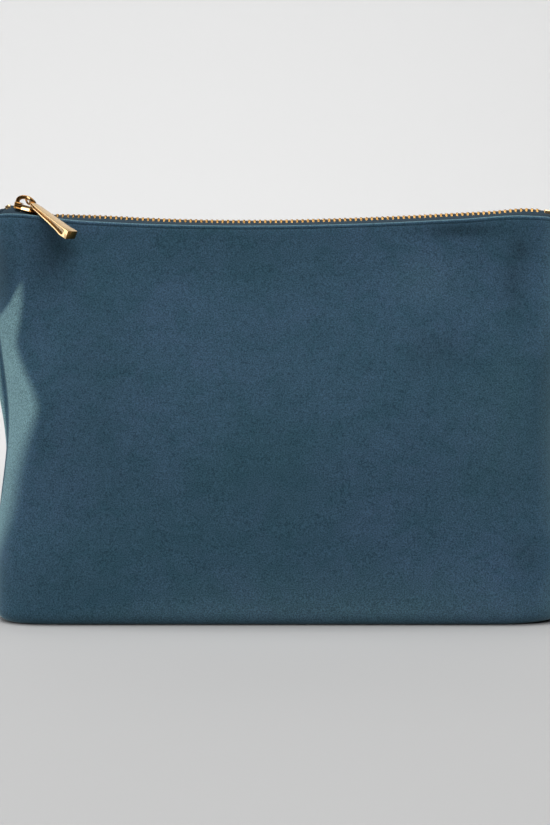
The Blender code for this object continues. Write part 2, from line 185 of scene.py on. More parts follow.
# ------------------------------------------------------------------ the two walls
# Front and back are cut flat from velvet and sewn round the sides, so the filled pouch pulls its
# side seams in at mid height and lets its zip sag between the corners. Every ply follows one form.
velvet_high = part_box("front_panel")[1]
chain_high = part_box("back_teeth")[1]
tape_low, tape_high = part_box("back_zip_tape")
foot_low, foot_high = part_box("back_panel")
CHAIN_TOP = chain_high.z
HALF_WIDTH = velvet_high.x
FOLD_TOP = velvet_high.z
HALF_BELLY = foot_high.y
FOOT_FRONT = foot_low.y
EDGE_ROUND = 5.5 * MM
SIDE_PINCH = 4.6 * MM
PINCHED = (22 * MM, 150 * MM)  # from this height to this
MOUTH_HALF_DEPTH = 8.6 * MM
BELLY_HEIGHT = 62 * MM
BACK_SWELL = 5.6 * MM
FRONT_DRAWN_IN = 1.0 * MM
CORNER_LIFT = 0.9 * MM
COLUMNS = 168
WALL_ROWS = 92
HEM_DROPS = (
    0, 0.1, 0.22, 0.38, 0.55, 0.75, 0.95, 1.15, 1.32, 1.48, 1.6, 1.72, 1.9, 2.2, 2.7, 3.5, 4.6, 6.2, 8.2
)
STITCH_DROP = 1.6 * MM

# Height of the teeth's tops along the zip, against the flat chain: the slider lifts the left end,
# the middle sags, and the right corner stands up again.
CHAIN_LINE = (
    (-0.124, 0.0004), (-0.1203, 0.0014), (-0.118, 0.0025), (-0.1162, 0.0035), (-0.1145, 0.0034),
    (-0.1105, 0.0021), (-0.1045, 0.0001), (-0.101, -0.0005), (-0.096, -0.0006), (-0.078, -0.0011),
    (-0.057, -0.0022), (-0.035, -0.0029), (0.0, -0.0030), (0.030, -0.0022), (0.052, -0.0013),
    (0.073, -0.0002), (0.090, 0.0007), (0.107, 0.0018), (0.1165, 0.0005), (0.124, -0.0024),
)
# Height of the velvet's folded edge, against the same chain.
FOLD_LINE = (
    (-0.124, -0.0010), (-0.118, -0.0004), (-0.110, -0.0006), (-0.097, -0.0024), (-0.07, -0.0042),
    (-0.03, -0.0054), (0.0, -0.0054), (0.035, -0.0046), (0.075, -0.0028), (0.105, -0.0014),
    (0.116, -0.0022), (0.124, -0.0046),
)


def smooth_line(points, at):
    """Heights along a smooth curve through a few points, for an array of places along X."""
    along, level = np.array(points).T
    slope = np.gradient(level, along)
    i = np.clip(np.searchsorted(along, at) - 1, 0, len(along) - 2)
    step = along[i + 1] - along[i]
    t = np.clip((at - along[i]) / step, 0, 1)
    return (
        (2 * t**3 - 3 * t**2 + 1) * level[i]
        + (t**3 - 2 * t**2 + t) * step * slope[i]
        + (3 * t**2 - 2 * t**3) * level[i + 1]
        + (t**3 - t**2) * step * slope[i + 1]
    )


def chain_top(x):
    """Height of the teeth's tops."""
    return CHAIN_TOP + smooth_line(CHAIN_LINE, np.asarray(x, float))


def fold_top(x):
    """Height of the velvet's folded edge."""
    return CHAIN_TOP + smooth_line(FOLD_LINE, np.asarray(x, float))


def hump(x, z, middle, reach):
    """A soft round swelling of height 1 at its middle."""
    return np.exp(-(((x - middle[0]) / reach[0]) ** 2) - ((z - middle[1]) / reach[1]) ** 2)


def half_width_at(z):
    """Half the pouch's width, with its side seams pulled in at mid height."""
    low, high = PINCHED
    share = np.clip((z - low) / (high - low), 0, 1)
    return HALF_WIDTH - SIDE_PINCH * np.sin(math.pi * share) ** 2


def half_depth_at(z):
    """Half the pouch's depth: a boxy foot, a belly below the middle and a narrow mouth."""
    belly, foot, middle = HALF_BELLY, -FOOT_FRONT + EDGE_ROUND, BELLY_HEIGHT
    rise = foot + (belly - foot) * np.sin(math.pi / 2 * np.clip(z / middle, 0, 1))
    share = np.clip((z - middle) / (FOLD_TOP - middle), 0, 1)
    fall = MOUTH_HALF_DEPTH + (belly - MOUTH_HALF_DEPTH) * np.cos(math.pi / 2 * share) ** 2
    return np.where(z < middle, rise, fall)


def plan_outline(across, z):
    """Share of the full half depth at a share of the half width, for each height.

    The foot and the mouth are boxy. Between them each side seam is drawn in, so the wall turns in
    one soft facet from the seam and then domes gently across the front.
    """
    boxy = np.sqrt(np.clip(1 - np.abs(across) ** np.where(across < 0, 17, 14), 0, 1))
    from_seam = half_width_at(z) * (1 - np.abs(across))
    widths = np.array((7, 11, 15.5, 13, 9.5, 8.5, 6.5)) * MM
    facet_width = np.interp(z, (0, 0.045, 0.090, 0.110, 0.125, 0.145, 0.176), widths)
    facet_share = np.interp(z, (0, 0.045, 0.090, 0.120, 0.176), (0.62, 0.56, 0.60, 0.62, 0.8))
    facet_share = facet_share * np.where(across < 0, 1, 0.8)
    facet = 1 - (1 - np.clip(from_seam / facet_width, 0, 1)) ** np.where(across < 0, 1.5, 2.0)
    drawn = facet_share * facet + (1 - facet_share) * (1 - np.abs(across) ** 2.3)
    waist = np.interp(z, (0.004, 0.030, 0.060, 0.150, 0.172), (0.0, 0.55, 1.0, 1.0, 0.35))
    waist = waist * waist * (3 - 2 * waist)
    return boxy * (1 - waist) + drawn * waist


def wall_relief(x, z, side):
    """The soft swellings and hollows of a filled pouch, in metres outwards."""
    if side < 0:
        relief = -2.6 * hump(x, z, (-0.097, 0.152), (0.011, 0.022))
        relief += 1.3 * hump(x, z, (-0.112, 0.150), (0.007, 0.020))
        relief += 0.9 * hump(x, z, (-0.074, 0.142), (0.016, 0.024))
        relief += -1.2 * hump(x, z, (-0.108, 0.118), (0.012, 0.016))
        relief += 1.3 * hump(x, z, (-0.106, 0.094), (0.010, 0.016))
        relief += -1.0 * hump(x, z, (0.098, 0.150), (0.020, 0.022))
        relief += 0.8 * hump(x, z, (0.060, 0.120), (0.030, 0.030))
        relief += -0.6 * hump(x, z, (-0.020, 0.150), (0.045, 0.012))
    else:
        relief = -2.0 * hump(x, z, (0.090, 0.150), (0.016, 0.024))
        relief += -1.4 * hump(x, z, (-0.095, 0.140), (0.016, 0.030))
        relief += 0.9 * hump(x, z, (-0.040, 0.110), (0.030, 0.030))
        relief += -0.7 * hump(x, z, (0.020, 0.150), (0.040, 0.014))
    relief += 0.35 * np.sin(x / 0.0135 + 1.3) * hump(x, z, (0.0, 0.0), (0.2, 0.020))
    return relief * MM


def wall_form(side):
    """The velvet's outside as rows of points: up from the foot's front edge, or from its middle."""
    across = np.sin(math.pi / 2 * np.linspace(-1, 1, COLUMNS + 1))
    fold = fold_top(across * HALF_WIDTH)
    drops = np.array(HEM_DROPS[::-1]) * MM
    low = np.linspace(0, 1, WALL_ROWS, endpoint=False)[:, None]
    heights = [EDGE_ROUND + (fold - drops[0] - EDGE_ROUND)[None, :] * low]
    heights.append(fold[None, :] - drops[:, None])
    z = np.vstack(heights)
    inwards = np.zeros((len(z), 1))
    turns = np.linspace(0, math.pi / 2, 7)[:-1, None]
    z = np.vstack([np.repeat(EDGE_ROUND * (1 - np.cos(turns)), COLUMNS + 1, axis=1), z])
    inwards = np.vstack([EDGE_ROUND * (1 - np.sin(turns)), inwards])
    level = np.clip(z / fold * FOLD_TOP, 0, FOLD_TOP)
    half_width = half_width_at(level) - inwards
    half_depth = half_depth_at(level) - inwards
    outline = plan_outline(across, level)
    x = half_width * across
    lift = np.clip(level / EDGE_ROUND - 1, 0, 1)
    y = half_depth * outline + wall_relief(x, level, side) * lift * np.minimum(1, outline * 1.6)
    if side > 0:
        # Behind, the velvet swells past the side seams at mid height.
        swell = hump(np.abs(x), level, (HALF_WIDTH - 6 * MM, 0.099), (8 * MM, 0.027))
        x = x + np.sign(x) * BACK_SWELL * swell * np.minimum(1, 8 * outline)
        feet = np.linspace(0, 1, 13)[:-1, None]
        front = np.minimum(-y[0] + 0.3 * MM, y[0])
        foot_y = front[None, :] * (1 - feet) + y[0][None, :] * feet
        x = np.vstack([np.repeat(x[:1], 12, axis=0), x])
        y = np.vstack([foot_y, y])
        z = np.vstack([np.zeros((12, COLUMNS + 1)), z])
    # Both walls are drawn in a little more at the left, where the back swells past the seam.
    x = np.where(x < 0, x + FRONT_DRAWN_IN * hump(0 * x, z, (0, 0.086), (1, 0.024)), x)
    # The foot's right corner is lifted off the floor.
    corner = np.clip((x - 94 * MM) / (26 * MM), 0, 1)
    z = z + CORNER_LIFT * corner * corner * (3 - 2 * corner) * np.clip(1 - z / 0.040, 0, 1)
    return np.stack([x, side * y, z], axis=-1)


def grid_normals(grid):
    """Unit normals of a grid of points, out of the pouch."""
    up = np.gradient(grid, axis=0)
    along = np.gradient(grid, axis=1)
    normal = np.cross(along, up)
    length = np.linalg.norm(normal, axis=-1, keepdims=True)
    return normal / np.maximum(length, 1e-12)


WALLS = {"front": wall_form(-1), "back": wall_form(1)}
OUTWARDS = {"front": grid_normals(WALLS["front"]), "back": -grid_normals(WALLS["back"])}
SIDES = {"front": -1, "back": 1}


def ply_at(wall, depth):
    """One wall's form moved in by this depth. depth may be an array with one value a point."""
    depth = np.broadcast_to(depth, WALLS[wall].shape[:2])
    return WALLS[wall] - OUTWARDS[wall] * depth[..., None]


def mesh_object(name, points, faces, smooth_angle=60):
    """A new object in world place from points and faces, with its normals made to face out."""
    mesh = bpy.data.meshes.new(name)
    mesh.from_pydata([tuple(p) for p in points], [], faces)
    shape = bmesh.new()
    shape.from_mesh(mesh)
    bmesh.ops.remove_doubles(shape, verts=shape.verts, dist=0.000004)
    bmesh.ops.recalc_face_normals(shape, faces=shape.faces)
    shape.to_mesh(mesh)
    shape.free()
    made = bpy.data.objects.new(name, mesh)
    bpy.context.collection.objects.link(made)
    mesh.shade_smooth()
    mesh.set_sharp_from_angle(angle=math.radians(smooth_angle))
    return made


def closed_ply(name, outer, inner):
    """A thin closed sheet between two grids of points."""
    rows, columns = outer.shape[:2]
    points = np.concatenate([outer.reshape(-1, 3), inner.reshape(-1, 3)])
    faces = []
    for start, step in ((0, 1), (rows * columns, -1)):
        for row in range(rows - 1):
            for column in range(columns - 1):
                a = start + row * columns + column
                faces.append((a, a + 1, a + columns + 1, a + columns)[::step])
    far = rows * columns
    rim = [(0, c) for c in range(columns)] + [(r, columns - 1) for r in range(1, rows)]
    rim += [(rows - 1, c) for c in range(columns - 2, -1, -1)]
    rim += [(r, 0) for r in range(rows - 2, -1, -1)]
    for (r0, c0), (r1, c1) in zip(rim, rim[1:]):
        a, b = r0 * columns + c0, r1 * columns + c1
        faces.append((a, far + a, far + b, b))
    return mesh_object(name, points, faces)


# The slider's box along the zip, from the part file.
slider_low, slider_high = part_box("slider_body")


def swing_with_mouth(piece):
    """Bakes the piece's place into its mesh."""
    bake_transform(piece)


def seat(piece, wall, slot, *nodes):
    """Attaches a back piece to the pouch's body or bakes a front piece in place, and hides the plain
    solids it stands for.
    """
    if wall == "front":
        swing_with_mouth(piece)
    else:
        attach(piece, "pouch")
    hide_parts(*nodes)
    return piece


# ------------------------------------------------------------------ velvet panels
# Short cotton velvet, about 1.2 mm with its pile. The top edge is folded in over the zip tape and
# topstitched, which leaves a small soft roll above a stitched groove.
VELVET = 1.2 * MM


def cotton_velvet():
    """Cut cotton pile: matt and deep face on, with a pale painted sheen beside the seams and on upturned
    faces, and painted shade in patches.
    """
    material, tree = new_material("cotton_velvet")
    place = add_node(tree, "ShaderNodeTexCoord")
    spot = place.outputs["Object"]
    # Brushed patches of nap, some centimetres across, and finer streaks inside them.
    broad = {"Scale": 17.0, "Detail": 4.0, "Roughness": 0.55, "Distortion": 0.6}
    nap = add_node(tree, "ShaderNodeTexNoise", broad, {"Vector": spot})
    slant = {"Scale": (0.9, 1.0, 1.1), "Rotation": (0.0, 0.5, 0.0)}
    slanted = add_node(tree, "ShaderNodeMapping", slant, {"Vector": spot})
    fine = {"Scale": 95.0, "Detail": 5.0, "Roughness": 0.62, "Distortion": 0.9}
    streaks = add_node(tree, "ShaderNodeTexNoise", fine, {"Vector": slanted.outputs[0]})
    # Pile tufts are about 0.3 mm. They are drawn at 0.55 mm so that they show.
    tuft = {"Scale": 1 / (0.55 * MM), "Detail": 2.0, "Roughness": 0.6}
    tufts = add_node(tree, "ShaderNodeTexNoise", tuft, {"Vector": spot})
    nap_range = {"From Min": 0.28, "From Max": 0.72}
    share = add_node(tree, "ShaderNodeMapRange", nap_range, {"Value": nap.outputs[0]})
    base = two_tones(tree, share.outputs[0], "#2F4D5B", "#3B5369")
    streak_range = {"From Min": 0.42, "From Max": 0.68, "To Max": 0.48}
    streak = add_node(tree, "ShaderNodeMapRange", streak_range, {"Value": streaks.outputs[0]})
    deeper = {"data_type": "RGBA", 7: linear("#264552")}
    mixed = add_node(tree, "ShaderNodeMix", deeper, {0: streak.outputs[0], 6: base})
    # The stored map paints light and shade on the pile: a pale painted sheen where it is high, painted
    # shade where it is below 0.
    light_map = add_node(tree, "ShaderNodeAttribute", {"attribute_name": "painted_light_and_nap"})
    # Painted highlight: faces turned upwards, such as the fold's top, are paled.
    facing = add_node(tree, "ShaderNodeNewGeometry")
    turn = add_node(tree, "ShaderNodeSeparateXYZ", {}, {0: facing.outputs["Normal"]})
    upturned = {"interpolation_type": "SMOOTHSTEP", "From Min": 0.45, "From Max": 0.95, "To Max": 0.36}
    fold = add_node(tree, "ShaderNodeMapRange", upturned, {"Value": turn.outputs[2]})
    uneven = {"From Min": 0.3, "From Max": 0.7, "To Min": 0.85, "To Max": 1.1}
    wander = add_node(tree, "ShaderNodeMapRange", uneven, {"Value": streaks.outputs[0]})
    times = {"operation": "MULTIPLY"}
    map_sheen = add_node(tree, "ShaderNodeMath", times, {0: light_map.outputs["Fac"], 1: wander.outputs[0]})
    most = {"operation": "MAXIMUM", "use_clamp": True}
    painted_sheen = add_node(tree, "ShaderNodeMath", most, {0: map_sheen.outputs[0], 1: fold.outputs[0]})
    # Painted shade: where the map falls below 0, the colour is darkened towards this tone.
    below = {"operation": "MULTIPLY", "use_clamp": True, 1: -1.0}
    painted_shade = add_node(tree, "ShaderNodeMath", below, {0: light_map.outputs["Fac"]})
    dark = {"data_type": "RGBA", 7: linear("#12242B")}
    deep = add_node(tree, "ShaderNodeMix", dark, {0: painted_shade.outputs[0], 6: mixed.outputs[2]})
    # Painted sheen: the pale tone, mixed in by the map and by the painted highlight on upturned faces.
    pale = {"data_type": "RGBA", 7: linear("#77999F")}
    light_and_nap = add_node(tree, "ShaderNodeMix", pale, {0: painted_sheen.outputs[0], 6: deep.outputs[2]})
    contrast = {"From Min": 0.35, "From Max": 0.65, "To Min": 0.64, "To Max": 1.40}
    grain = add_node(tree, "ShaderNodeMapRange", contrast, {"Value": tufts.outputs[0]})
    multiply = {"data_type": "RGBA", "blend_type": "MULTIPLY", 0: 1.0}
    shade = add_node(tree, "ShaderNodeMix", multiply, {6: light_and_nap.outputs[2], 7: grain.outputs[0]})
    nubs = {"Strength": 0.35, "Distance": 0.12 * MM}
    rough = add_node(tree, "ShaderNodeBump", nubs, {"Height": tufts.outputs[0]})
    matt = {"Roughness": 0.85, "Specular IOR Level": 0.12}
    sheen = {"Sheen Weight": 0.75, "Sheen Roughness": 0.34, "Sheen Tint": linear("#A9CBD4")}
    finish_material(tree, {**matt, **sheen}, shade.outputs[2], rough.outputs[0])
    return material


def hem_relief(wall):
    """How far the folded hem and its stitched groove stand in from the wall's smooth form."""
    z = WALLS[wall][..., 2]
    drop = (z[-1][None, :] - z) / MM
    turn = np.clip((0.6 - drop) / 0.6, 0, 1)
    inwards = 0.75 * (1 - np.sqrt(np.clip(1 - turn**2, 0, 1)))
    inwards -= 0.15 * np.exp(-(((drop - 0.85) / 0.4) ** 2))
    inwards += 0.32 * np.exp(-(((drop - STITCH_DROP / MM) / 0.24) ** 2))
    inwards -= 0.15 * np.exp(-(((drop - 4.0) / 1.6) ** 2))
    # The side seams draw a fine crease.
    edge = np.abs(np.linspace(-1, 1, COLUMNS + 1))[None, :]
    inwards = inwards + 0.5 * np.clip((edge - 0.985) / 0.015, 0, 1) ** 2
    return inwards * MM


# The inner edge of the band of painted sheen beside the seam: height and place along X, in millimetres.
SHEEN_BAND_EDGE = (
    (0, -132), (30, -122), (49, -115.5), (66, -112.5), (80, -108), (88, -104.9), (94, -103.6),
    (101, -105.6), (110, -109.8), (120, -112.9), (129, -111.6), (138, -110.4), (150, -110.4), (180, -112),
)
# Round patches of the map, mostly painted shade below 0 (under the pull and the hem, in hollows), painted
# light above 0, some plain nap: how much, then the middle's place along X and height, then the reach each
# way, in millimetres.
LIGHT_SHADE_AND_NAP_PATCHES = (
    (-0.45, -98, 160, 9, 17), (-0.50, -118.5, 153, 5, 15), (-0.55, 76, 168.5, 17, 3),
    (-0.34, 99, 148, 5, 14), (-0.35, 103, 161, 4, 5), (-0.24, 66, 118, 14, 8),
    (-0.24, 104, 30, 10, 9), (-0.13, -80, 92, 24, 45), (-0.14, -100, 20, 30, 12),
    (-0.05, -5, 120, 45, 70), (0.05, 60, 148, 16, 12), (0.03, 95, 90, 22, 40),
    (0.07, 30, 10, 90, 15), (0.06, 0, 5, 150, 6),
)


def paint_pile_light(panel, wall):
    """Stores light painted on the pile: 1 for a pale painted sheen, below 0 for painted shade, with some
    patches of nap.
    """
    x, y, z = (np.array([v.co[i] for v in panel.data.vertices]) / MM for i in range(3))
    across = x if wall == "front" else -np.abs(x)
    # A band of painted sheen beside the seam, broadest at mid height, whose top end leans in from the
    # edge.
    inner = smooth_line(SHEEN_BAND_EDGE, z)
    outer = np.interp(z, (126, 132.8, 138.4, 146.2, 152), (-128, -119.8, -115.2, -111.4, -106))
    soft = np.interp(z, (40, 60, 95, 120), (9, 12, 8, 5))
    light_and_nap = np.clip((inner - across) / soft + 0.45, 0, 1) * np.clip((across - outer) / 3.2 + 0.5, 0, 1)
    light_and_nap = np.interp(z, (30, 60, 90), (0.55, 0.72, 0.85)) * light_and_nap * light_and_nap * (3 - 2 * light_and_nap)
    for change, middle_x, middle_z, reach_x, reach_z in LIGHT_SHADE_AND_NAP_PATCHES:
        light_and_nap += change * hump(across, z, (middle_x, middle_z), (reach_x, reach_z))
    # Painted light near the right seam, offsetting the shade where the side turns away.
    light_and_nap += 0.11 * np.clip((across - 109) / 7, 0, 1)
    # Painted shade: a dark line along the side seams, where the panels meet in a crease.
    seam_shade = np.clip(1.5 - np.abs(y) / 1.1, 0, 1) * (z > 3) * (across < -100)
    light_and_nap -= 0.9 * seam_shade * np.clip((150 - z) / 20, 0, 1)
    stored = panel.data.attributes.new("painted_light_and_nap", "FLOAT", "POINT")
    stored.data.foreach_set("value", light_and_nap.astype(np.float32))


velvet = cotton_velvet()
for wall, length in (("front", 0.185), ("back", 0.213)):
    relief = hem_relief(wall)
    panel = closed_ply(f"{wall}_velvet", ply_at(wall, relief), ply_at(wall, VELVET + 0.35 * relief))
    panel.data.materials.append(velvet)
    paint_pile_light(panel, wall)
    seat(panel, wall, "velvet", f"{wall}_panel")


# ------------------------------------------------------------------ fleece interlining
# Needled polyester fleece, fused to the back of each panel. It keeps the empty pouch standing, and
# stops short of the seams so that they stay thin.
FLEECE_DEPTH = 1.35 * MM
FLEECE = 2.1 * MM
FLEECE_SHORT = 9  # columns of the form that it stops short of each side


def needled_fleece():
    """Loose white fibres: matt, with a faint lumpy mottle."""
    material, tree = new_material("needled_fleece")
    place = add_node(tree, "ShaderNodeTexCoord")
    tangle = {"Scale": 420.0, "Detail": 6.0, "Roughness": 0.7}
    fibres = add_node(tree, "ShaderNodeTexNoise", tangle, {"Vector": place.outputs["Object"]})
    tone = two_tones(tree, fibres.outputs[0], "#D9D7CF", "#F1F0EA")
    lumps = {"Strength": 0.6, "Distance": 0.3 * MM}
    bump = add_node(tree, "ShaderNodeBump", lumps, {"Height": fibres.outputs[0]})
    finish_material(tree, {"Roughness": 0.95, "Sheen Weight": 0.2}, tone, bump.outputs[0])
    return material


fleece = needled_fleece()
for wall in ("front", "back"):
    inside = slice(FLEECE_SHORT, COLUMNS + 1 - FLEECE_SHORT)
    below = slice(16, -24) if wall == "back" else slice(4, -24)
    outer = ply_at(wall, FLEECE_DEPTH)[below, inside]
    inner = ply_at(wall, FLEECE_DEPTH + FLEECE)[below, inside]
    pad = closed_ply(f"{wall}_fleece", outer, inner)
    pad.data.materials.append(fleece)
    seat(pad, wall, "padding", f"{wall}_padding")


# ------------------------------------------------------------------ lining
# A bag of plain woven cotton, dropped inside. Its top edge is turned under and sewn to the zip
# tapes about 5 mm below the fold, clear of the slider.
LINING_DEPTH = 3.6 * MM
LINING = 0.4 * MM
LINING_DROP = 15  # rows of the form that the lining's edge stays below the fold


def plain_woven_cotton():
    """A close plain weave, dark blue, with a little light catching each thread."""
    material, tree = new_material("plain_woven_cotton")
    place = add_node(tree, "ShaderNodeTexCoord")
    # Threads are 0.35 mm apart, drawn at 0.7 mm.
    threads = []
    for way in ("X", "Z"):
        bands = {"wave_type": "BANDS", "bands_direction": way, "Scale": 0.314 / (0.7 * MM) / 2}
        threads.append(add_node(tree, "ShaderNodeTexWave", bands, {"Vector": place.outputs["Object"]}))
    warp, weft = threads
    crossing = {"operation": "MULTIPLY"}
    weave = add_node(tree, "ShaderNodeMath", crossing, {0: warp.outputs[1], 1: weft.outputs[1]})
    tone = two_tones(tree, weave.outputs[0], "#26333F", "#3A4C5C")
    relief = {"Strength": 0.3, "Distance": 0.1 * MM}
    bump = add_node(tree, "ShaderNodeBump", relief, {"Height": weave.outputs[0]})
    finish_material(tree, {"Roughness": 0.7, "Sheen Weight": 0.1}, tone, bump.outputs[0])
    return material


cotton = plain_woven_cotton()
for wall, length in (("front", 0.178), ("back", 0.204)):
    rows = slice(5, -LINING_DROP) if wall == "front" else slice(2, -LINING_DROP)
    outer = ply_at(wall, LINING_DEPTH)[rows]
    inner = ply_at(wall, LINING_DEPTH + LINING)[rows]
    for skin in (outer, inner):
        lowest = LINING_DEPTH if skin is outer else LINING_DEPTH + LINING
        skin[..., 2] = np.maximum(skin[..., 2], lowest)
    lining = closed_ply(f"{wall}_cotton_lining", outer, inner)
    lining.data.materials.append(cotton)
    seat(lining, wall, "lining", f"{wall}_lining")


# ------------------------------------------------------------------ seams
# The panels are sewn face to face and turned out, which leaves a rolled allowance of velvet and
# thread inside each side and along the foot's front edge.
ALLOWANCE_DEPTH = 2.4 * MM
ALLOWANCE = 0.85 * MM


def spun_thread():
    """Spun polyester thread, dark blue, twisted, with a low lustre."""
    material, tree = new_material("spun_thread")
    place = add_node(tree, "ShaderNodeTexCoord")
    twist = {"Scale": 2500.0, "Detail": 3.0}
    fibre = add_node(tree, "ShaderNodeTexNoise", twist, {"Vector": place.outputs["Object"]})
    tone = two_tones(tree, fibre.outputs[0], "#1D303C", "#2F4A5A")
    finish_material(tree, {"Roughness": 0.6}, tone)
    return material


def tube_faces(rings, sides, start=0):
    """Faces that join rings of points into a tube, then its two ends."""
    faces = []
    for i in range(rings - 1):
        for k in range(sides):
            a, b = start + i * sides + k, start + i * sides + (k + 1) % sides
            faces.append((a, b, b + sides, a + sides))
    faces.append(tuple(range(start, start + sides)))
    faces.append(tuple(range(start + (rings - 1) * sides, start + rings * sides)))
    return faces


def tube(name, path, across, upright, sides=10):
    """A closed tube of oval section along a path: across and upright are its half sizes."""
    path = np.asarray(path)
    along = np.gradient(path, axis=0)
    along /= np.linalg.norm(along, axis=1, keepdims=True)
    first = np.cross(along, (0.0, 1.0, 0.0))
    first /= np.linalg.norm(first, axis=1, keepdims=True)
    second = np.cross(along, first)
    points = []
    for i, centre in enumerate(path):
        for k in range(sides):
            c, s = math.cos(math.tau * k / sides), math.sin(math.tau * k / sides)
            points.append(centre + first[i] * across * c + second[i] * upright * s)
    return mesh_object(name, points, tube_faces(len(path), sides))


thread = spun_thread()
rolled = ply_at("front", ALLOWANCE_DEPTH)
for name, column, inwards in (("left", 0, 1), ("right", -1, -1)):
    path = rolled[10:-26, column] * (1, 0, 1)
    allowance = tube(f"{name}_seam_allowance", path, ALLOWANCE * 0.7, ALLOWANCE * 0.55)
    allowance.data.materials.append(thread)
    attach(allowance, "pouch")
    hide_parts(f"{name}_side_seam")
foot_path = WALLS["front"][0, 10:-10] + (0, 1.6 * MM, ALLOWANCE_DEPTH)
foot_allowance = tube("foot_seam_allowance", foot_path, ALLOWANCE, ALLOWANCE)
foot_allowance.data.materials.append(thread)
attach(foot_allowance, "pouch")
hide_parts("bottom_seam")


# ------------------------------------------------------------------ topstitching
# One row of lockstitch in 40-weight thread holds velvet and tape together, 1.6 mm under the fold.
# It sinks into the pile, so each stitch shows as a short dash.
STITCH = 2.3 * MM
STITCH_SHOWN = 1.6 * MM
THREAD = 0.16 * MM


def line_on_wall(wall, drop_row, depth, x):
    """Points at places along X on one row of a wall's form, moved in by a depth."""
    row = ply_at(wall, depth)[drop_row]
    others = [np.interp(x, row[:, 0], row[:, axis]) for axis in (1, 2)]
    return np.stack([x, *others], axis=-1)


stitch_row = -1 - HEM_DROPS.index(STITCH_DROP / MM)
for wall in ("front", "back"):
    points, faces = [], []
    for middle in np.arange(-HALF_WIDTH + 6 * MM, HALF_WIDTH - 5 * MM, STITCH):
        share = np.linspace(-1, 1, 6)
        x = middle + share * STITCH_SHOWN / 2
        dash = line_on_wall(wall, stitch_row, 0.42 * MM, x)
        dash[:, 1] -= SIDES[wall] * 0.35 * MM * share**2
        start = len(points)
        for i, centre in enumerate(dash):
            round_by = THREAD * (0.55 if i in (0, 5) else 1)
            for k in range(6):
                turn = math.tau * k / 6
                points.append(centre + np.array((0, math.cos(turn), math.sin(turn))) * round_by)
        faces += tube_faces(len(dash), 6, start)
    stitches = mesh_object(f"{wall}_stitches", points, faces)
    stitches.data.materials.append(thread)
    seat(stitches, wall, "thread", f"{wall}_topstitch")


# ------------------------------------------------------------------ zip tapes
# Woven herringbone polyester, 0.45 mm thick. Its corded edge carries the teeth, and from there it
# runs out and turns down between the velvet and the lining, where the topstitching holds it.
TAPE = 0.45 * MM
TAPE_DEPTH = 2.45 * MM
TOOTH_HEIGHT = 2.4 * MM
# The corded edge stands up between the teeth's legs: distance out from the middle, and height.
CORD_EDGE = ((0.5, 0.7), (1.1, 0.55), (1.7, -0.05), (2.3, -0.45))


def herringbone_tape():
    """Fine diagonal ribs that turn back on themselves, with the low shine of filament yarn."""
    material, tree = new_material("herringbone_tape")
    place = add_node(tree, "ShaderNodeTexCoord")
    slant = {"Rotation": (0.0, 0.0, 0.7)}
    tilt = add_node(tree, "ShaderNodeMapping", slant, {"Vector": place.outputs["Object"]})
    # Ribs are 0.5 mm apart.
    bands = {"bands_direction": "X", "Scale": 0.314 / (0.5 * MM), "Distortion": 1.5}
    ribs = add_node(tree, "ShaderNodeTexWave", bands, {"Vector": tilt.outputs[0]})
    tone = two_tones(tree, ribs.outputs[1], "#15252E", "#283F4D")
    relief = {"Strength": 0.4, "Distance": 0.1 * MM}
    bump = add_node(tree, "ShaderNodeBump", relief, {"Height": ribs.outputs[1]})
    finish_material(tree, {"Roughness": 0.75, "Specular IOR Level": 0.25}, tone, bump.outputs[0])
    return material


def tape_form(wall):
    """The middle of a tape: from its corded edge out to the fold, then down inside the wall."""
    down = ply_at(wall, TAPE_DEPTH)[-22:-6][::-1]
    kept = np.abs(down[0, :, 0]) < tape_high.x + 3.4 * MM
    down = down[:, kept]
    x = down[0, :, 0]
    level = chain_top(x) - 0.55 * TOOTH_HEIGHT
    rows = []
    for out, up in CORD_EDGE:
        rows.append(np.stack([x, np.full_like(x, SIDES[wall] * out * MM), level + up * MM], axis=-1))
    edge, shoulder = rows[-1], down[0]
    for share in (0.15, 0.32, 0.5, 0.66, 0.8, 0.91):
        bend = edge * (1 - share) + shoulder * share
        bend[:, 2] = edge[:, 2] * (1 - share**1.7) + shoulder[:, 2] * share**1.7
        rows.append(bend)
    return np.concatenate([np.stack(rows), down])


tape = herringbone_tape()
for wall in ("front", "back"):
    middle = tape_form(wall)
    off = grid_normals(middle) * TAPE / 2
    strip = closed_ply(f"{wall}_tape", middle + off, middle - off)
    strip.data.materials.append(tape)
    seat(strip, wall, "tape", f"{wall}_zip_tape")


# ------------------------------------------------------------------ teeth
# Stamped brass teeth, one clenched on each tape every 2.28 mm. Each has two legs round the
# corded edge and a narrow head that reaches between the heads of the other row.
PITCH = 2.28 * MM
TOOTH_WIDE = 1.1 * MM
HEAD_WIDE = 0.95 * MM
HEAD_REACH = 0.9 * MM
LEG_REACH = 2.3 * MM


def polished_brass(name, colour):
    """Yellow brass under clear lacquer, with fine tumbling marks that soften its reflections."""
    material, tree = new_material(name)
    place = add_node(tree, "ShaderNodeTexCoord")
    tumbled = {"Scale": 900.0, "Detail": 4.0}
    marks = add_node(tree, "ShaderNodeTexNoise", tumbled, {"Vector": place.outputs["Object"]})
    dulled = {"From Min": 0.3, "From Max": 0.7, "To Min": 0.17, "To Max": 0.27}
    spread = add_node(tree, "ShaderNodeMapRange", dulled, {"Value": marks.outputs[0]})
    metal = {"Metallic": 1.0, "Base Color": linear(colour)}
    finish_material(tree, metal, roughness=spread.outputs[0])
    return material


def choose(made):
    """Selects one piece alone and makes it active."""
    bpy.ops.object.select_all(action="DESELECT")
    made.select_set(True)
    bpy.context.view_layer.objects.active = made


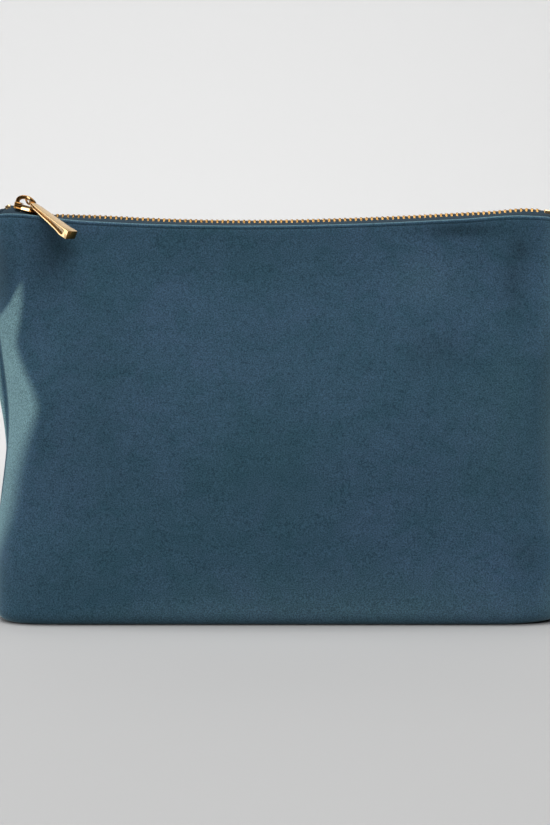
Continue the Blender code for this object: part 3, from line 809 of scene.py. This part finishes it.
def new_cube(name, low, high):
    """A block between two corners, made active and left alone selected."""
    bpy.ops.object.select_all(action="DESELECT")
    low, high = Vector(low), Vector(high)
    bpy.ops.mesh.primitive_cube_add(size=1, location=(low + high) / 2)
    made = bpy.context.object
    made.name = name
    made.scale = high - low
    bpy.ops.object.transform_apply(location=True, rotation=True, scale=True)
    return made


def pick(made, test):
    """Goes to edit mode with only the vertices selected that pass the test."""
    bpy.ops.object.mode_set(mode="OBJECT")
    mesh = made.data
    mesh.polygons.foreach_set("select", [False] * len(mesh.polygons))
    mesh.edges.foreach_set("select", [False] * len(mesh.edges))
    mesh.vertices.foreach_set("select", [bool(test(v.co)) for v in mesh.vertices])
    bpy.ops.object.mode_set(mode="EDIT")
    bpy.ops.mesh.select_mode(type="VERT")


def cut_across(made, places):
    """Adds rings of edges across X at these places, in millimetres."""
    bpy.ops.object.mode_set(mode="EDIT")
    for x in places:
        bpy.ops.mesh.select_all(action="SELECT")
        bpy.ops.mesh.bisect(plane_co=(x * MM, 0, 0), plane_no=(1, 0, 0))
    bpy.ops.object.mode_set(mode="OBJECT")


def size_rings(made, sizes):
    """Sets the width and height of each ring across X: (x, half width, bottom, top) in millimetres."""
    for x, half, bottom, top in sizes:
        ring = [v for v in made.data.vertices if abs(v.co.x - x * MM) < 0.01 * MM]
        low, high = min(v.co.z for v in ring), max(v.co.z for v in ring)
        wide = max(v.co.y for v in ring)
        pick(made, lambda co: abs(co.x - x * MM) < 0.01 * MM)
        grow = (1, half * MM / wide, (top - bottom) * MM / (high - low))
        bpy.ops.transform.resize(value=grow, center_override=(x * MM, 0, (low + high) / 2))
        bpy.ops.transform.translate(value=(0, 0, (bottom + top) / 2 * MM - (low + high) / 2))
        bpy.ops.object.mode_set(mode="OBJECT")


def round_edges(made, width, segments=2, angle=30):
    """Bevels the sharp edges and shades the rest smooth."""
    choose(made)
    bevel = made.modifiers.new("rounded", "BEVEL")
    bevel.width = width * MM
    bevel.segments = segments
    bevel.limit_method = "ANGLE"
    bevel.angle_limit = math.radians(angle)
    bpy.ops.object.modifier_apply(modifier="rounded")
    bpy.ops.object.shade_smooth_by_angle(angle=math.radians(35))


def combine(made, other, operation):
    """Cuts another shape out of a piece or melts it in, and removes the other."""
    choose(made)
    change = made.modifiers.new("change", "BOOLEAN")
    change.operation = operation
    change.object = other
    change.solver = "EXACT"
    bpy.ops.object.modifier_apply(modifier="change")
    bpy.data.objects.remove(other)


def join(name, *parts):
    """Joins parts into the first one, and names it."""
    bpy.ops.object.select_all(action="DESELECT")
    for part in parts:
        part.select_set(True)
    bpy.context.view_layer.objects.active = parts[0]
    bpy.ops.object.join()
    parts[0].name = name
    return parts[0]


# Each row leans out with its tape, in degrees, and the back row lies a little lower.
ROW_LEAN = {-1: 6, 1: 7}
ROW_DROP = {-1: 0.0, 1: 0.15 * MM}
LEG_SLOPE = 0.85 * MM  # the legs' outer faces slope in towards the top


def one_tooth():
    """A tooth of the front row at the origin: legs towards -Y, head towards +Y."""
    low = (-TOOTH_WIDE / 2, -LEG_REACH, -TOOTH_HEIGHT / 2)
    made = new_cube("tooth", low, (TOOTH_WIDE / 2, -0.2 * MM, TOOTH_HEIGHT / 2))
    pick(made, lambda co: co.y > -0.3 * MM)
    bpy.ops.mesh.extrude_region_move(TRANSFORM_OT_translate={"value": (0, HEAD_REACH + 0.2 * MM, 0)})
    taper = (HEAD_WIDE / TOOTH_WIDE * 0.8, 1, 0.5)
    bpy.ops.transform.resize(value=taper, center_override=(0, HEAD_REACH, 0))
    bpy.ops.object.mode_set(mode="OBJECT")
    pick(made, lambda co: co.y < -2 * MM and co.z > 0)
    bpy.ops.transform.translate(value=(0, LEG_SLOPE, 0))
    bpy.ops.object.mode_set(mode="OBJECT")
    round_edges(made, 0.2, segments=1)
    return made


def row_of_teeth(name, side, starts):
    """The tooth repeated along the sagging chain, leaning out a little with its tape."""
    master = one_tooth()
    points = np.array([v.co for v in master.data.vertices])
    polygons = [tuple(p.vertices) for p in master.data.polygons]
    bpy.data.objects.remove(master)
    if side > 0:
        points = points * (-1, -1, 1)
    lean = math.radians(-ROW_LEAN[side])
    c, s = math.cos(lean), math.sin(lean)
    points = points @ np.array(((1, 0, 0), (0, c, -s), (0, s, c))).T
    every_point, every_face = [], []
    for x in starts:
        rise = math.atan2(float(chain_top(x + MM) - chain_top(x - MM)), 2 * MM)
        c, s = math.cos(rise), math.sin(rise)
        tilt = np.array(((c, 0, -s), (0, 1, 0), (s, 0, c)))
        centre = np.array((x, 0.0, float(chain_top(x)) - TOOTH_HEIGHT / 2 - ROW_DROP[side]))
        first = len(every_point)
        every_point.extend(points @ tilt.T + centre)
        every_face.extend(tuple(first + i for i in polygon) for polygon in polygons)
    return mesh_object(name, every_point, every_face, smooth_angle=25)


brass = polished_brass("polished_brass", "#E8C694")
tooth_brass = polished_brass("stamped_brass", "#B08A54")
teeth_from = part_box("front_top_stop")[1].x + 1.6 * MM
teeth_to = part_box("bottom_stop")[0].x - 0.8 * MM
places = np.arange(teeth_from, teeth_to - PITCH / 2, PITCH)
for wall, shift in (("front", 0.0), ("back", PITCH / 2)):
    row = row_of_teeth(f"{wall}_tooth_row", SIDES[wall], places + shift)
    row.data.materials.append(tooth_brass)
    seat(row, wall, "brass", f"{wall}_teeth")


# ------------------------------------------------------------------ stops and end tabs
# Bent brass clips stop the slider at each end. Beyond them the ends of both tapes are folded over
# and caught in the side seams as small square tabs.
def settle(made, centre, rise):
    """Moves a piece made at the origin to its place, tipped up along X by rise."""
    made.data.transform(Matrix.Translation(centre) @ Matrix.Rotation(-rise, 4, "Y"))
    made.data.update()


TOP_STOP_HALF_HEIGHT = 1.15 * MM
BOTTOM_STOP_HALF = (2.2 * MM, 1.35 * MM)  # across the zip, and upright
TAB_HALF = (2.3 * MM, 1.5 * MM)
STOP_BELOW_TOP = 1.2 * MM
TAB_BELOW_TOP = 1.5 * MM

for wall in ("front", "back"):
    low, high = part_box(f"{wall}_top_stop")
    half = Vector(((high.x - low.x) / 2, (high.y - low.y) / 2, TOP_STOP_HALF_HEIGHT))
    clip = new_cube(f"{wall}_stop_clip", -half, half)
    round_edges(clip, 0.35)
    x = (low.x + high.x) / 2
    place = (x, (low.y + high.y) / 2, float(chain_top(x)) - STOP_BELOW_TOP)
    settle(clip, place, rise=math.radians(30))
    clip.data.materials.append(brass)
    seat(clip, wall, "brass", f"{wall}_top_stop")

low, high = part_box("bottom_stop")
half = Vector(((high.x - low.x) / 2, *BOTTOM_STOP_HALF))
clip = new_cube("bottom_stop_clip", -half, half)
round_edges(clip, 0.45, segments=3)
x = (low.x + high.x) / 2
settle(clip, (x, 0, float(chain_top(x)) - STOP_BELOW_TOP), rise=math.radians(-6))
clip.data.materials.append(brass)
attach(clip, "pouch")
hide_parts("bottom_stop")

for name, rise in (("left", 16), ("right", -14)):
    low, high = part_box(f"{name}_end_tab")
    half = Vector(((high.x - low.x) / 2, *TAB_HALF))
    tab = new_cube(f"{name}_tape_tab", -half, half)
    round_edges(tab, 0.9, segments=4)
    x = (low.x + high.x) / 2
    settle(tab, (x, 0, float(chain_top(x)) - TAB_BELOW_TOP), rise=math.radians(rise))
    tab.data.materials.append(tape)
    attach(tab, "pouch")
    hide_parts(f"{name}_end_tab")


# ------------------------------------------------------------------ slider
# Cast brass: two plates with turned flanges, joined by a wedge at the nose that parts the teeth,
# and an arched band over the top that the pull hangs from.
SLIDER_TILT = math.radians(-14.5)
CHANNEL_HALF_HEIGHT = 1.55 * MM
BRIGHT_FROM, BRIGHT_TO = -1.75 * MM, 1.85 * MM  # between these the plates keep the bright brass; beyond them, painted shade
SLIDER_HEIGHT = 176.55 * MM
SLIDER_MIDDLE = (slider_low.x + slider_high.x) / 2


def slider_plate(name, up):
    """A plate with a rounded nose to -X and flanges turned over the tape."""
    made = new_cube(name, (-5 * MM, -4.3 * MM, 0), (5 * MM, 4.3 * MM, 0.95 * MM))
    cut_across(made, (-4.2, -2.6, -1.7, 1.8, 3.6))
    top = 0.95
    nose = [(-5, 2.5, 0.1, top - 0.2), (-4.2, 3.7, 0, top), (-2.6, 4.3, 0, top + 0.1)]
    middle = [(-1.7, 4.25, 0, top + 0.1), (1.8, 3.9, 0, top + 0.05)]
    tail = [(3.6, 3.7, 0, top), (5, 3.3, 0, top - 0.1)]
    size_rings(made, nose + middle + tail)
    for side in (-1, 1):
        flange = new_cube("flange", (-4.0 * MM, 3.2 * MM, -1.05 * MM), (4.6 * MM, 4.2 * MM, 0.4 * MM))
        pick(flange, lambda co: co.x > 0)
        bpy.ops.transform.translate(value=(0, -0.45 * MM, 0))
        bpy.ops.object.mode_set(mode="OBJECT")
        cut_across(flange, (-1.7, 1.8))
        flange.data.transform(Matrix.Scale(side, 4, (0, 1, 0)))
        flange.data.update()
        bpy.ops.object.mode_set(mode="EDIT")
        bpy.ops.mesh.select_all(action="SELECT")
        bpy.ops.mesh.normals_make_consistent(inside=False)
        bpy.ops.object.mode_set(mode="OBJECT")
        combine(made, flange, "UNION")
    pick(made, lambda co: co.z > -0.3 * MM)
    bpy.ops.transform.resize(value=(1, 0.66, 1), center_override=(0, 0, 0))
    bpy.ops.object.mode_set(mode="OBJECT")
    round_edges(made, 0.18, segments=3, angle=25)
    if not up:
        made.data.transform(Matrix.Scale(-1, 4, (0, 0, 1)))
        made.data.flip_normals()
    lift = CHANNEL_HALF_HEIGHT if up else -CHANNEL_HALF_HEIGHT
    made.data.transform(Matrix.Translation((0, 0, lift)))
    return made


def band(name, path, width, thick):
    """A flat cast band with rounded edges along a path in the XZ plane, in millimetres."""
    path = np.array(path) * MM
    along = np.gradient(path, axis=0)
    along /= np.linalg.norm(along, axis=1, keepdims=True)
    section = []
    for k in range(16):
        turn = math.tau * (k + 0.5) / 16
        c, s = math.cos(turn), math.sin(turn)
        across = abs(c) ** 0.3 * math.copysign(width / 2, c)
        out = abs(s) ** 0.4 * math.copysign(thick / 2, s)
        section.append((across * MM, out * MM))
    points = []
    for (x, z), (ax, az) in zip(path, along):
        for y, out in section:
            points.append((x - az * out, y, z + ax * out))
    return mesh_object(name, points, tube_faces(len(path), len(section)), smooth_angle=50)


upper = slider_plate("upper_plate", True)
lower = slider_plate("lower_plate", False)
wedge = new_cube("wedge", (-4.6 * MM, -1.1 * MM, -1.8 * MM), (-1.2 * MM, 1.1 * MM, 1.8 * MM))
pick(wedge, lambda co: co.x > -2 * MM)
bpy.ops.transform.resize(value=(1, 0.15, 1), center_override=(0, 0, 0))
bpy.ops.object.mode_set(mode="OBJECT")
round_edges(wedge, 0.2)
arch_turns = np.linspace(math.pi * 1.02, 0.0, 15)
arch_path = [(-4.25, 2.1), (-4.3, 2.9), (-4.25, 3.5)]
arch_path += [(-0.9 + 3.35 * math.cos(t), 3.9 + 2.0 * math.sin(t)) for t in arch_turns[1:-3]]
arch_path += [(2.7, 4.5), (3.15, 3.7), (3.35, 2.9), (3.35, 2.1)]
arch = band("arch", arch_path, 2.2, 1.7)
foot_block = new_cube("arch_foot", (-5.0 * MM, -3.7 * MM, 1.35 * MM), (-1.9 * MM, 3.7 * MM, 3.2 * MM))
round_edges(foot_block, 0.55, segments=3)
tail_block = new_cube("arch_tail", (1.9 * MM, -3.5 * MM, 1.35 * MM), (4.9 * MM, 3.5 * MM, 3.1 * MM))
round_edges(tail_block, 0.5, segments=3)
# Painted shade: the bridge and the ends of the plates take a darker brass, standing in for their dark
# reflections.
painted_shade_brass = polished_brass("brass_with_painted_shade", "#8A6436")
for part in (upper, lower, wedge):
    part.data.materials.append(brass)
    part.data.materials.append(painted_shade_brass)
    for polygon in part.data.polygons:
        polygon.material_index = int(not BRIGHT_FROM < polygon.center.x < BRIGHT_TO)
for part in (arch, foot_block, tail_block):
    part.data.materials.append(painted_shade_brass)
slider = join("zip_slider", upper, lower, wedge, arch, foot_block, tail_block)
settle(slider, (SLIDER_MIDDLE, 0, SLIDER_HEIGHT), rise=SLIDER_TILT)
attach(slider, "slider")
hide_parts("slider_body")


# ------------------------------------------------------------------ pull
# One brass casting: a small eye round the arch, then a blade slotted from side to side that widens
# into a solid block, heavy enough to hang over the front.
PULL_WAY = Vector((0.65, -0.60, -0.47)).normalized()
PULL_ACROSS = Vector((0.66, 0.75, 0.0)).normalized()
PULL_UP = PULL_WAY.cross(PULL_ACROSS) * -1
PULL_UP = PULL_UP if PULL_UP.z > 0 else -PULL_UP
PULL_ACROSS = PULL_UP.cross(PULL_WAY).normalized()
EYE_RADIUS = 1.62 * MM
EYE_WIRE = 0.94 * MM
EYE_TURN = math.radians(25)
EYE_AT = Vector((SLIDER_MIDDLE + 1.2 * MM, 0, 181.2 * MM))

# Rings along the blade and along its slot: place, half width, bottom and top, in millimetres.
BLADE_RINGS = (
    (1.6, 0.8, -0.55, 0.55), (4, 1.4, -0.75, 0.7), (7, 1.95, -0.95, 0.85), (12, 2.2, -1.1, 1.0),
    (18, 2.3, -1.35, 1.2), (24, 2.45, -1.8, 1.4), (27, 2.75, -2.1, 1.6), (31.4, 2.65, -1.8, 1.95),
)
SLOT_RINGS = (
    (3.2, 6, -0.2, 0.22), (7, 6, -0.32, 0.42), (12, 6, -0.4, 0.6), (18, 6, -0.6, 0.8),
    (24, 6, -1.1, 0.95), (27.6, 6, -1.45, 1.15), (28.6, 6, -1.1, 0.9),
)


def ringed_bar(name, rings):
    """A bar along X, as wide and as high as its rings say."""
    first, last = rings[0][0] * MM, rings[-1][0] * MM
    made = new_cube(name, (first, -MM, -0.6 * MM), (last, MM, 0.6 * MM))
    cut_across(made, [ring[0] for ring in rings[1:-1]])
    size_rings(made, rings)
    return made


blade = ringed_bar("blade", BLADE_RINGS)
slot_cut = ringed_bar("slot", SLOT_RINGS)
combine(blade, slot_cut, "DIFFERENCE")
round_edges(blade, 0.16, segments=2, angle=24)
bpy.ops.object.select_all(action="DESELECT")
bpy.ops.mesh.primitive_torus_add(
    major_radius=EYE_RADIUS,
    minor_radius=EYE_WIRE / 2,
    major_segments=40,
    minor_segments=14,
    rotation=(math.radians(90), 0, 0),
)
eye = bpy.context.object
bpy.ops.object.transform_apply(location=True, rotation=True, scale=True)
eye.data.transform(Matrix.Rotation(EYE_TURN, 4, "X"))
bpy.ops.object.shade_smooth()
pull = join("zip_pull", blade, eye)
frame_of_pull = Matrix.Identity(4)
for row in range(3):
    frame_of_pull[row][:3] = PULL_WAY[row], PULL_ACROSS[row], PULL_UP[row]
pull.data.materials.clear()
pull.data.materials.append(brass)
pull.data.materials.append(painted_shade_brass)
# Painted shade: the sawn end takes the darker brass too.
for polygon in pull.data.polygons:
    polygon.material_index = int(polygon.normal.x > 0.9 and polygon.center.x > 31 * MM)
pull.data.transform(Matrix.Translation(EYE_AT) @ frame_of_pull)
pull.data.update()
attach(pull, "pull")
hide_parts("pull_tab")
